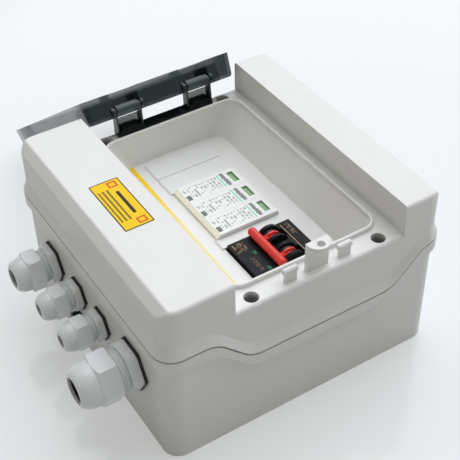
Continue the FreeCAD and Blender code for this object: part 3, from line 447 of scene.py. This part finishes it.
class COMBINER_OT_gland_threads(bpy.types.Operator):
    """Wind the thread turns that show between each gland's flange and its cap nut."""
    bl_idname = "combiner.gland_threads"
    bl_label = "Gland threads"
    ROOM = 0.3
    SUNK = 0.15 * MM
    FOOT = 0.42
    CREST = 0.35

    def execute(self, context):
        look = settings("box_glands")
        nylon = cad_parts["gland_1_body"].data.materials[0]
        for k in GLANDS:
            nut_low, nut_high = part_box(f"gland_{k}_cap_nut")
            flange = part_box(f"gland_{k}_insert")[1].y
            self.wind(k, look, nylon, (nut_low + nut_high) / 2, nut_high.y, flange)
        return {"FINISHED"}

    def wind(self, k, look, nylon, centre, start, end):
        """Whole turns between the cap nut at the start and the flange at the end, with even room left."""
        room = self.ROOM * look.pitch
        turns = max(1, math.floor((end - start) / look.pitch - 0.4))
        spare = (end - start) - turns * look.pitch - 2 * room
        piece = fresh(bpy.ops.mesh.primitive_plane_add, size=1.0,
                      location=(centre.x, start + spare / 2 + room, centre.z))
        foot = NECKS[k] - self.SUNK
        crest = NECKS[k] + look.ridge
        half = look.pitch * self.FOOT
        flat = half * self.CREST
        profile = [(foot, -half), (crest, -flat), (crest, flat), (foot, half)]
        ring = [piece.data.vertices[i] for i in piece.data.polygons[0].vertices]
        for vertex, (r, along) in zip(ring, profile):
            vertex.co = (r, along, 0.0)
        screw = piece.modifiers.new("turns", "SCREW")
        screw.axis = "Y"
        screw.screw_offset = look.pitch
        screw.iterations = turns
        screw.steps = look.steps
        screw.render_steps = look.steps
        screw.use_merge_vertices = False
        bpy.ops.object.modifier_apply(modifier="turns")
        edit(piece)
        bpy.ops.mesh.remove_doubles(threshold=1e-6)
        bpy.ops.mesh.select_all(action="DESELECT")
        bpy.ops.mesh.select_non_manifold()
        bpy.ops.mesh.fill()
        bpy.ops.mesh.select_all(action="SELECT")
        bpy.ops.mesh.normals_make_consistent(inside=False)
        settle(piece, f"gland_{k}_thread", nylon, "enclosure", smooth=40)


class COMBINER_OT_metal(bpy.types.Operator):
    """Finish the rail, the screws, the pins and the earth bar."""
    bl_idname = "combiner.metal"
    bl_label = "Metal parts"

    def execute(self, context):
        zinc = machined("zinc_steel", (0.62, 0.62, 0.6), 0.35, (0.1, 1.0, 1.0))
        dress(zinc, "din_rail", "cover_screws", "rail_screws", "earth_bar_screws", "hinge_pins",
              "spd_terminal_screws", "breaker_terminal_screws")
        dress(machined("turned_brass", (0.72, 0.52, 0.24), 0.3, (1.0, 0.1, 1.0)), "earth_bar")
        return {"FINISHED"}


class COMBINER_OT_arresters(bpy.types.Operator):
    """Finish the surge arresters with their print: plain fields, lines and bars."""
    bl_idname = "combiner.arresters"
    bl_label = "Surge arresters"
    CELLS = 900.0
    ROWS = 420.0
    FLAG_X = 5.35 * MM
    FLAG_Y = (22.45 * MM, 26.55 * MM)
    FLAG_DEEP = 1.2 * MM
    FLAG_THICK = 0.15 * MM
    FLAG_ROUND = 0.2 * MM
    SHADOW_X = (3.4 * MM, 5.6 * MM)
    SHADOW_Y = (25.2 * MM, 26.6 * MM)
    MINT_X = 6.9 * MM
    MINT_Y = (14.9 * MM, 15.9 * MM)
    BAR_X = 6.8 * MM
    BAR_Y = (17.2 * MM, 20.0 * MM)
    BAR_CELLS = 700.0
    ROWS_X = 6 * MM
    ROWS_Y = (-8.5 * MM, 13.8 * MM)
    STAMP_X = (1.5 * MM, 6.5 * MM)
    STAMP_Y = (-12.5 * MM, -9.5 * MM)
    MARK_X = (-4.6 * MM, -1.6 * MM)
    MARK_Y = (-11.7 * MM, -10.1 * MM)
    BEVEL_Y = (-13.6 * MM, -13.0 * MM)

    def execute(self, context):
        look = settings("box_devices")
        dress(moulded("arrester_base", look.white, 0.4), "spd_base")
        for k in ARRESTERS:
            low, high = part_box(f"spd_cartridge_{k}")
            middle = (low.x + high.x) / 2
            dress(self.printed(f"arrester_print_{k}", look, middle), f"spd_cartridge_{k}")
            flag = Finish(f"arrester_flag_{k}", Roughness=0.25)
            shadow = flag.y.smooth(*self.SHADOW_Y).either(1 - (flag.x - low.x).smooth(*self.SHADOW_X))
            flag.feed("Base Color", flag.mix(look.flag, shade(look.flag, 0.35), shadow))
            piece = foil(middle - self.FLAG_X, middle + self.FLAG_X, *self.FLAG_Y,
                         ARRESTER_Z - self.FLAG_DEEP, self.FLAG_THICK, self.FLAG_ROUND)
            settle(piece, f"arrester_{k}_flag", flag.material, f"arrester_{k}")
        return {"FINISHED"}

    def printed(self, name, look, middle):
        """White plastic with a mint line, a row of dark blocks, rows of dashes and a cream bevel."""
        finish = Finish(name, Roughness=0.35)
        x = finish.x - middle
        y = finish.y
        on_face = finish.z > ARRESTER_Z - 0.3 * MM
        mint = y.between(*self.MINT_Y) * (abs(x) < self.MINT_X)
        random = finish.scatter(x, y, self.CELLS, self.ROWS)
        jagged = y + (random - 0.5) * (0.9 * MM)
        letters = (x * self.BAR_CELLS).fraction() < 0.88
        bar = jagged.between(*self.BAR_Y) * (abs(x) < self.BAR_X) * letters
        line = (y * self.ROWS).fraction().between(0.2, 0.8)
        rows = (random < 0.46) * line * y.between(*self.ROWS_Y) * (abs(x) < self.ROWS_X)
        stamp = field(x, jagged, self.STAMP_X, self.STAMP_Y)
        mark = field(x, jagged, self.MARK_X, self.MARK_Y)
        ink = finish.mix(look.white, look.ink, (rows * 0.6 + bar + stamp + mark * 0.6) * on_face)
        inked = finish.mix(ink, look.mint, mint * on_face)
        bevel = 1 - y.smooth(*self.BEVEL_Y)
        finish.feed("Base Color", finish.mix(inked, look.cream, bevel))
        finish.bump(finish.noise(0.6 * MM, 2.0), 0.006 * MM)
        return finish


class COMBINER_OT_switch(bpy.types.Operator):
    """Finish the switch, its print, its flags and its red handle."""
    bl_idname = "combiner.switch"
    bl_label = "Switch"
    CELLS = 1100.0
    ROWS = 620.0
    LINE_X = (2.0 * MM, 29.0 * MM)
    LINE_Y = (23.4 * MM, 23.9 * MM)
    UPPER_X = (2.0 * MM, 14.0 * MM)
    UPPER_Y = (26.0 * MM, 28.9 * MM)
    LOWER_X = (2.0 * MM, 11.0 * MM)
    LOWER_Y = (-12.5 * MM, -5.0 * MM)
    SMALL_X = (17.0 * MM, 30.0 * MM)
    SMALL_Y = (-9.0 * MM, -6.0 * MM)
    FLAGS_X = (39.8 * MM, 55.7 * MM)
    FLAG_HALF = 1.6 * MM
    FLAG_Y = (-4.4 * MM, -2.4 * MM)
    FLAG_SUNK = 0.02 * MM
    FLAG_THICK = 0.12 * MM
    FLAG_ROUND = 0.2 * MM
    DRUMS_X = ((30.5 * MM, 32.6 * MM), (48.5 * MM, 50.6 * MM))
    DRUM_R = 7.2 * MM

    def execute(self, context):
        look = settings("box_devices")
        dress(self.body(look), "breaker_body")
        ready = moulded("switch_flag", look.ready, 0.3, 0.4 * MM, 0.004 * MM)
        ready.shader.inputs["Specular IOR Level"].default_value = 0.15
        for k, middle in enumerate(self.FLAGS_X, 1):
            piece = foil(middle - self.FLAG_HALF, middle + self.FLAG_HALF, *self.FLAG_Y,
                         FACE_Z - self.FLAG_SUNK, self.FLAG_THICK, self.FLAG_ROUND)
            settle(piece, f"switch_flag_{k}", ready.material, "enclosure")
        dress(self.handle(look), "breaker_handle")
        return {"FINISHED"}

    def body(self, look):
        """Black plastic with a gold line and small gold print on its front."""
        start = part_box("breaker_body")[0].x
        finish = Finish("switch_plastic", Specular_IOR_Level=0.1)
        x = finish.x - start
        y = finish.y
        on_face = finish.z.between(FACE_Z - 0.3 * MM, FACE_Z + 0.3 * MM)
        line = field(x, y, self.LINE_X, self.LINE_Y)
        random = finish.scatter(x, y, self.CELLS, self.ROWS)
        in_row = (y * self.ROWS).fraction().between(0.25, 0.8) * (random < 0.62)
        upper = field(x, y, self.UPPER_X, self.UPPER_Y)
        lower = field(x, y, self.LOWER_X, self.LOWER_Y)
        small = field(x, y, self.SMALL_X, self.SMALL_Y) * 0.5
        inked = line.either(in_row * upper.either(lower).either(small) * 0.5)
        finish.feed("Base Color", finish.mix(look.black, look.gold, inked * on_face))
        finish.feed("Roughness", finish.noise(3 * MM, 3.0, 0.3, 0.42))
        finish.bump(finish.noise(0.5 * MM, 2.0), 0.01 * MM)
        return finish

    def handle(self, look):
        """Red plastic with a black ring on each lever's drum."""
        red = Finish("handle_red", Specular_IOR_Level=0.3)
        lift = red.z - PIVOT_Z
        out = red.y - PIVOT_Y
        first, second = self.DRUMS_X
        drum = red.x.between(*first).either(red.x.between(*second))
        drum = drum * ((lift * lift + out * out).math("SQRT") < self.DRUM_R)
        speckle = red.noise(0.9 * MM, 3.0)
        shades = red.mix(shade(look.red, 0.86), shade(look.red, 1.12), speckle)
        red.feed("Base Color", red.mix(shades, look.black, drum))
        red.feed("Roughness", red.noise(4 * MM, 3.0, 0.2, 0.3))
        red.bump(speckle, 0.05 * MM)
        return red


class COMBINER_OT_door(bpy.types.Operator):
    """Finish the smoked window door and its black hinge bracket."""
    bl_idname = "combiner.door"
    bl_label = "Window door"
    THICK_R = (15.0 * MM, 23.0 * MM)
    RIM_HEIGHT = (-9.6 * MM, -7.4 * MM)
    TOP_END_Y = (51.5 * MM, 53.0 * MM)
    BARREL_HALF = 8.2 * MM
    BARREL_R = 4.6 * MM
    BLOCK_NEAR = (131 * MM, 138 * MM)
    BLOCK_FAR = (149 * MM, 156 * MM)
    BLOCK_Y = -45 * MM
    LEG_HALF = (7.9 * MM, 8.1 * MM)

    def execute(self, context):
        look = settings("box_door")
        black = moulded("hinge_black", look.hinge, 0.3, 0.8 * MM, 0.006 * MM, 0.1)
        black.shader.inputs["Specular IOR Level"].default_value = 0.25
        dress(black, "hinge_bracket", "vent_plug", "vent_nut")
        dress(self.window(look), "window_door")
        dress(self.legs(look), "hinge_legs")
        return {"FINISHED"}

    def window(self, look):
        """Clear smoked plastic, nearly black round the hinge axis and in a block at the far -Y corner, with
        a lighter painted sheen on the round hinge barrels.
        """
        finish = Finish("smoked_window", IOR=1.58, Specular_IOR_Level=0.35)
        edge_on = finish.add("LayerWeight", {}, {"Blend": 0.5})["Facing"]
        run = finish.x - HINGE_X
        up = finish.z - HINGE_Z
        away = (run * run + up * up).math("SQRT")
        height = up * math.cos(DOOR_OPEN) - run * math.sin(DOOR_OPEN)
        thick = 1 - away.smooth(*self.THICK_R)
        rim = 1 - height.smooth(*self.RIM_HEIGHT)
        top_end = finish.y.smooth(*self.TOP_END_Y)
        barrels = abs(abs(finish.y - CHANNEL_Y) - HINGE_MIDDLE) < self.BARREL_HALF
        barrels = barrels * (away < self.BARREL_R)
        block = away.smooth(*self.BLOCK_NEAR) * (1 - away.smooth(*self.BLOCK_FAR))
        block = block * (finish.y < self.BLOCK_Y)
        thin = (rim * (1 - top_end)).either(top_end * 0.55)
        plate = edge_on * 0.25 + look.cover
        hides = (thick * 0.95 * (1 - thin * 0.34)).either(plate).either(block * 0.8)
        tinted = (thick * (1 - thin * 0.45)).either(block)
        # Painted sheen: the hinge barrels take the lighter barrel colour.
        dark = finish.mix(look.edge, look.barrel_sheen, barrels)
        finish.feed("Base Color", finish.mix(look.smoke, dark, tinted))
        finish.feed("Alpha", hides)
        finish.feed("Roughness", barrels * 0.2 + finish.noise(20 * MM, 2.0, 0.08, 0.16))
        return finish

    def legs(self, look):
        """The same plastic on the legs, dark only along the two plates."""
        finish = Finish("smoked_legs", IOR=1.58)
        across = abs(abs(finish.y - CHANNEL_Y) - HINGE_MIDDLE)
        plate = across.smooth(*self.LEG_HALF)
        finish.feed("Base Color", finish.mix(look.web, look.edge, plate))
        finish.feed("Alpha", plate * 0.3 + 0.65)
        finish.feed("Roughness", finish.noise(20 * MM, 2.0, 0.1, 0.18))
        return finish


class COMBINER_OT_plates(bpy.types.Operator):
    """Lay the plain yellow plate on the wide wing and the yellow strip in the tub."""
    bl_idname = "combiner.plates"
    bl_label = "Yellow plate and strip"
    BORDER = 0.7 * MM
    HEADING_X = 11.5 * MM
    HEADING_Y = (2.2 * MM, 4.4 * MM)
    LINES = 360.0
    LINES_X = 15.5 * MM
    LINES_Y = (-7.5 * MM, -0.2 * MM)
    MARK_X = (16.0 * MM, 21.5 * MM)
    MARK_Y = (0.8 * MM, 6.8 * MM)
    HOLLOW_X = (17.2 * MM, 20.3 * MM)
    HOLLOW_Y = (2.0 * MM, 5.6 * MM)
    PLATE_ROUND = 0.6 * MM
    STRIP_X = (-79 * MM, 57 * MM)
    STRIP_Y = (-27.1 * MM, -25.0 * MM)
    STRIP_SKEW = 2 * MM
    STRIP_ROUND = 0.4 * MM
    FADE_X = (-60 * MM, 10 * MM)

    def execute(self, context):
        look = settings("box_plate")
        half_x, half_y = look.plate / 2, look.width / 2
        plate = foil(PLATE_X - half_x, PLATE_X + half_x, PLATE_Y - half_y, PLATE_Y + half_y,
                     WING_TOP, look.thick, self.PLATE_ROUND)
        printed = self.printed(look, half_x, half_y)
        settle(plate, "yellow_plate", printed.material, "enclosure")
        faded = Finish("strip_yellow", Roughness=0.5, Specular_IOR_Level=0.2)
        faded.feed("Base Color", faded.mix(look.yellow, look.pale, faded.x.smooth(*self.FADE_X)))
        strip = foil(*self.STRIP_X, *self.STRIP_Y, TUB_FLOOR, look.thick,
                     self.STRIP_ROUND, self.STRIP_SKEW)
        settle(strip, "yellow_strip", faded.material, "enclosure")
        return {"FINISHED"}

    def printed(self, look, half_x, half_y):
        """Yellow with a dark border, bars in place of words and a hollow orange square at each end."""
        finish = Finish("plate_print", Roughness=0.5, Specular_IOR_Level=0.2)
        x = finish.x - PLATE_X
        y = finish.y - PLATE_Y
        border = 1 - (abs(x) < half_x - self.BORDER) * (abs(y) < half_y - self.BORDER)
        heading = y.between(*self.HEADING_Y) * (abs(x) < self.HEADING_X)
        line = (y * self.LINES).fraction().between(0.2, 0.7)
        lines = line * y.between(*self.LINES_Y) * (abs(x) < self.LINES_X)
        marks = field(abs(x), y, self.MARK_X, self.MARK_Y)
        hollow = field(abs(x), y, self.HOLLOW_X, self.HOLLOW_Y)
        dark = border.either(heading).either(lines * 0.75)
        base = finish.mix(look.yellow, look.border, dark)
        finish.feed("Base Color", finish.mix(base, look.mark, marks * (1 - hollow)))
        finish.bump(finish.noise(2 * MM, 2.0), 0.004 * MM)
        return finish


class COMBINER_OT_stage(bpy.types.Operator):
    """Lay the floor and set up the light."""
    bl_idname = "combiner.stage"
    bl_label = "Floor and light"

    def execute(self, context):
        look = settings("box_stage")
        floor = fresh(bpy.ops.mesh.primitive_plane_add, size=FLOOR_SIZE, location=(0, 0, 0))
        floor.name = "floor"
        finish = Finish("floor_board", Roughness=0.12, Specular_IOR_Level=0.28, Emission_Strength=1.0)
        rays = finish.add("LightPath")
        seen = rays["Is Camera Ray"].either(rays["Is Glossy Ray"]).either(rays["Is Transmission Ray"])
        finish.feed("Base Color", finish.mix((look.bounce,) * 3, look.floor, seen))
        finish.feed("Emission Color", finish.mix((0.0, 0.0, 0.0), look.glow, seen))
        floor.data.materials.append(finish.material)
        self.room(look)
        self.lamp("key_light", KEY_DIRECTION, look.sun, look.cool, look.spread)
        self.lamp("small_light", SMALL_DIRECTION, look.small, look.cool, SMALL_SPREAD)
        self.lamp("front_light", FRONT_DIRECTION, look.front, look.blue, FRONT_SPREAD)
        return {"FINISHED"}

    def room(self, look):
        """Even light from all round, white in glossy and clear surfaces and pale behind the floor."""
        world = bpy.data.worlds.new("soft_room")
        bpy.context.scene.world = world
        world.use_nodes = True
        tree = world.node_tree
        lit = self.glow(tree.nodes["Background"], look.warm, look.sky)
        white = self.glow(tree.nodes.new("ShaderNodeBackground"), ROOM_WHITE, look.room)
        backdrop = self.glow(tree.nodes.new("ShaderNodeBackground"), look.backdrop, 1.0)
        rays = tree.nodes.new("ShaderNodeLightPath")
        glossy = tree.nodes.new("ShaderNodeMath")
        glossy.operation = "MAXIMUM"
        tree.links.new(rays.outputs["Is Glossy Ray"], glossy.inputs[0])
        tree.links.new(rays.outputs["Is Transmission Ray"], glossy.inputs[1])
        mirrored = self.blend(tree, glossy.outputs[0], lit, white)
        seen = self.blend(tree, rays.outputs["Is Camera Ray"], mirrored, backdrop)
        tree.links.new(seen, tree.nodes["World Output"].inputs["Surface"])

    def glow(self, node, tint, strength):
        """Set the colour and level of a background node and return its output."""
        node.inputs["Color"].default_value = (*tint, 1.0)
        node.inputs["Strength"].default_value = strength
        return node.outputs[0]

    def blend(self, tree, mask, first, second):
        """The first background where the mask is 0 and the second where it is 1."""
        node = tree.nodes.new("ShaderNodeMixShader")
        for socket, link in zip(node.inputs, (mask, first, second)):
            tree.links.new(link, socket)
        return node.outputs[0]

    def lamp(self, name, direction, energy, tint, spread):
        bpy.ops.object.select_all(action="DESELECT")
        bpy.ops.object.light_add(type="SUN", location=direction)
        lamp = bpy.context.object
        lamp.name = name
        lamp.data.energy = energy
        lamp.data.color = tint
        lamp.data.angle = spread
        lamp.rotation_euler = Vector(direction).to_track_quat("Z", "Y").to_euler()


class COMBINER_OT_camera(bpy.types.Operator):
    """Stand the camera where the photograph was taken from."""
    bl_idname = "combiner.camera"
    bl_label = "Camera"

    def execute(self, context):
        look = settings("box_stage")
        right = Vector(CAMERA_RIGHT).normalized()
        forward = Vector(CAMERA_VIEW).normalized()
        up = right.cross(forward)
        bpy.ops.object.select_all(action="DESELECT")
        bpy.ops.object.camera_add(location=CAMERA_PLACE)
        camera = bpy.context.object
        turn = Matrix((right, up, -forward)).transposed()
        camera.rotation_euler = turn.to_euler()
        camera.data.sensor_width = SENSOR
        camera.data.lens = look.lens
        camera.data.clip_start = 0.01
        camera.data.clip_end = 20.0
        bpy.context.scene.camera = camera
        bpy.context.scene.view_settings.view_transform = "Standard"
        return {"FINISHED"}


class COMBINER_PT_panel(bpy.types.Panel):
    """Lists the steps that dress the box."""
    bl_label = "Combiner Box"
    bl_idname = "COMBINER_PT_panel"
    bl_space_type = "VIEW_3D"
    bl_region_type = "UI"
    bl_category = "Combiner Box"

    def draw(self, context):
        for name in LOOKS:
            column = self.layout.column(align=True)
            look = getattr(context.scene, name)
            for key in look.__annotations__:
                column.prop(look, key)
        for step in STEPS:
            self.layout.operator(step.bl_idname)


STEPS = (
    COMBINER_OT_housing, COMBINER_OT_glands, COMBINER_OT_gland_threads, COMBINER_OT_metal,
    COMBINER_OT_arresters, COMBINER_OT_switch, COMBINER_OT_door, COMBINER_OT_plates,
    COMBINER_OT_stage, COMBINER_OT_camera,
)


def register():
    for look in LOOKS.values():
        bpy.utils.register_class(look)
    for name, look in LOOKS.items():
        setattr(bpy.types.Scene, name, PointerProperty(type=look))
    for step in (*STEPS, COMBINER_PT_panel):
        bpy.utils.register_class(step)


def unregister():
    for step in (*STEPS, COMBINER_PT_panel):
        bpy.utils.unregister_class(step)
    for name, look in LOOKS.items():
        delattr(bpy.types.Scene, name)
        bpy.utils.unregister_class(look)


def main():
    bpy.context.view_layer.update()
    register()
    bpy.ops.combiner.housing()
    bpy.ops.combiner.glands()
    bpy.ops.combiner.gland_threads()
    bpy.ops.combiner.metal()
    bpy.ops.combiner.arresters()
    bpy.ops.combiner.switch()
    bpy.ops.combiner.door()
    bpy.ops.combiner.plates()
    bpy.ops.combiner.stage()
    bpy.ops.combiner.camera()


if __name__ == "__main__":
    main()
